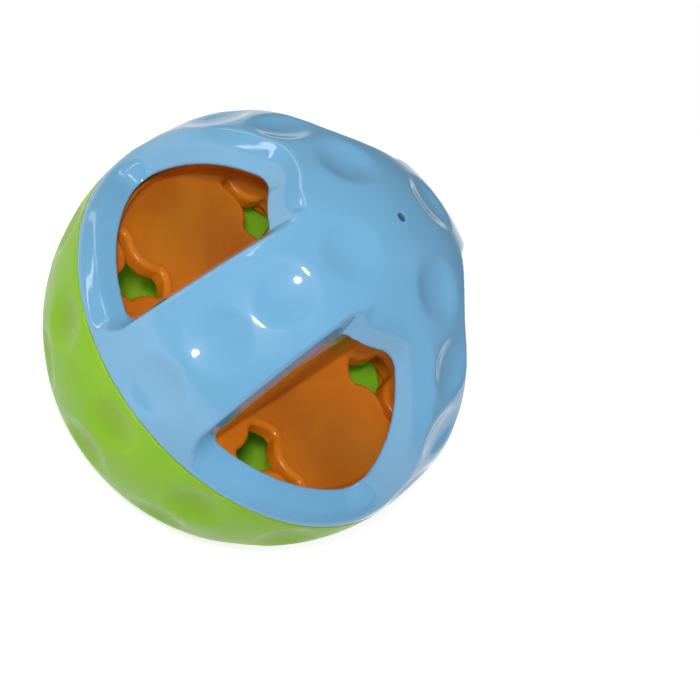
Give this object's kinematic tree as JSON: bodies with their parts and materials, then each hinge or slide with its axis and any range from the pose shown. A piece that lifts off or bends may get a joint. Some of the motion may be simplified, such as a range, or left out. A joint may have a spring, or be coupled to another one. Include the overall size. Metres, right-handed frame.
{
  "type": "treat dispensing ball",
  "caption": "Hollow dimpled pet ball whose halves screw apart, with D-shaped windows in the upper half over an inner tray with star-shaped treat holes.",
  "frame": {"origin": "middle of the closed ball, on the parting plane between the two halves", "axes": "+Z along the screw axis through the pole of the windowed half, +X along the broad band between the windows, +Y along the narrower cross band"},
  "size_m": [0.14, 0.14, 0.14],
  "materials": {
    "blue_plastic": "light blue glossy moulded plastic",
    "orange_plastic": "orange satin moulded plastic",
    "green_plastic": "lime green glossy moulded plastic"
  },
  "bodies": {
    "lower": {"reservoir_half": "green_plastic"},
    "tray": {"treat_tray": "orange_plastic"},
    "upper": {"windowed_half": "blue_plastic"}
  },
  "joints": [
    {"name": "unscrew_turn", "type": "hinge", "parent": "lower", "child": "tray", "pos_m": [0, 0, 0], "axis": [0, 0, 1], "range_deg": [0, 180]},
    {"name": "unscrew_rise", "type": "slide", "parent": "tray", "child": "upper", "axis": [0, 0, 1], "range_m": [0, 0.01]}
  ],
  "couplings": [
    {"joint": "unscrew_rise", "follows": "unscrew_turn", "m_per_rad": 0.0031831}
  ]
}
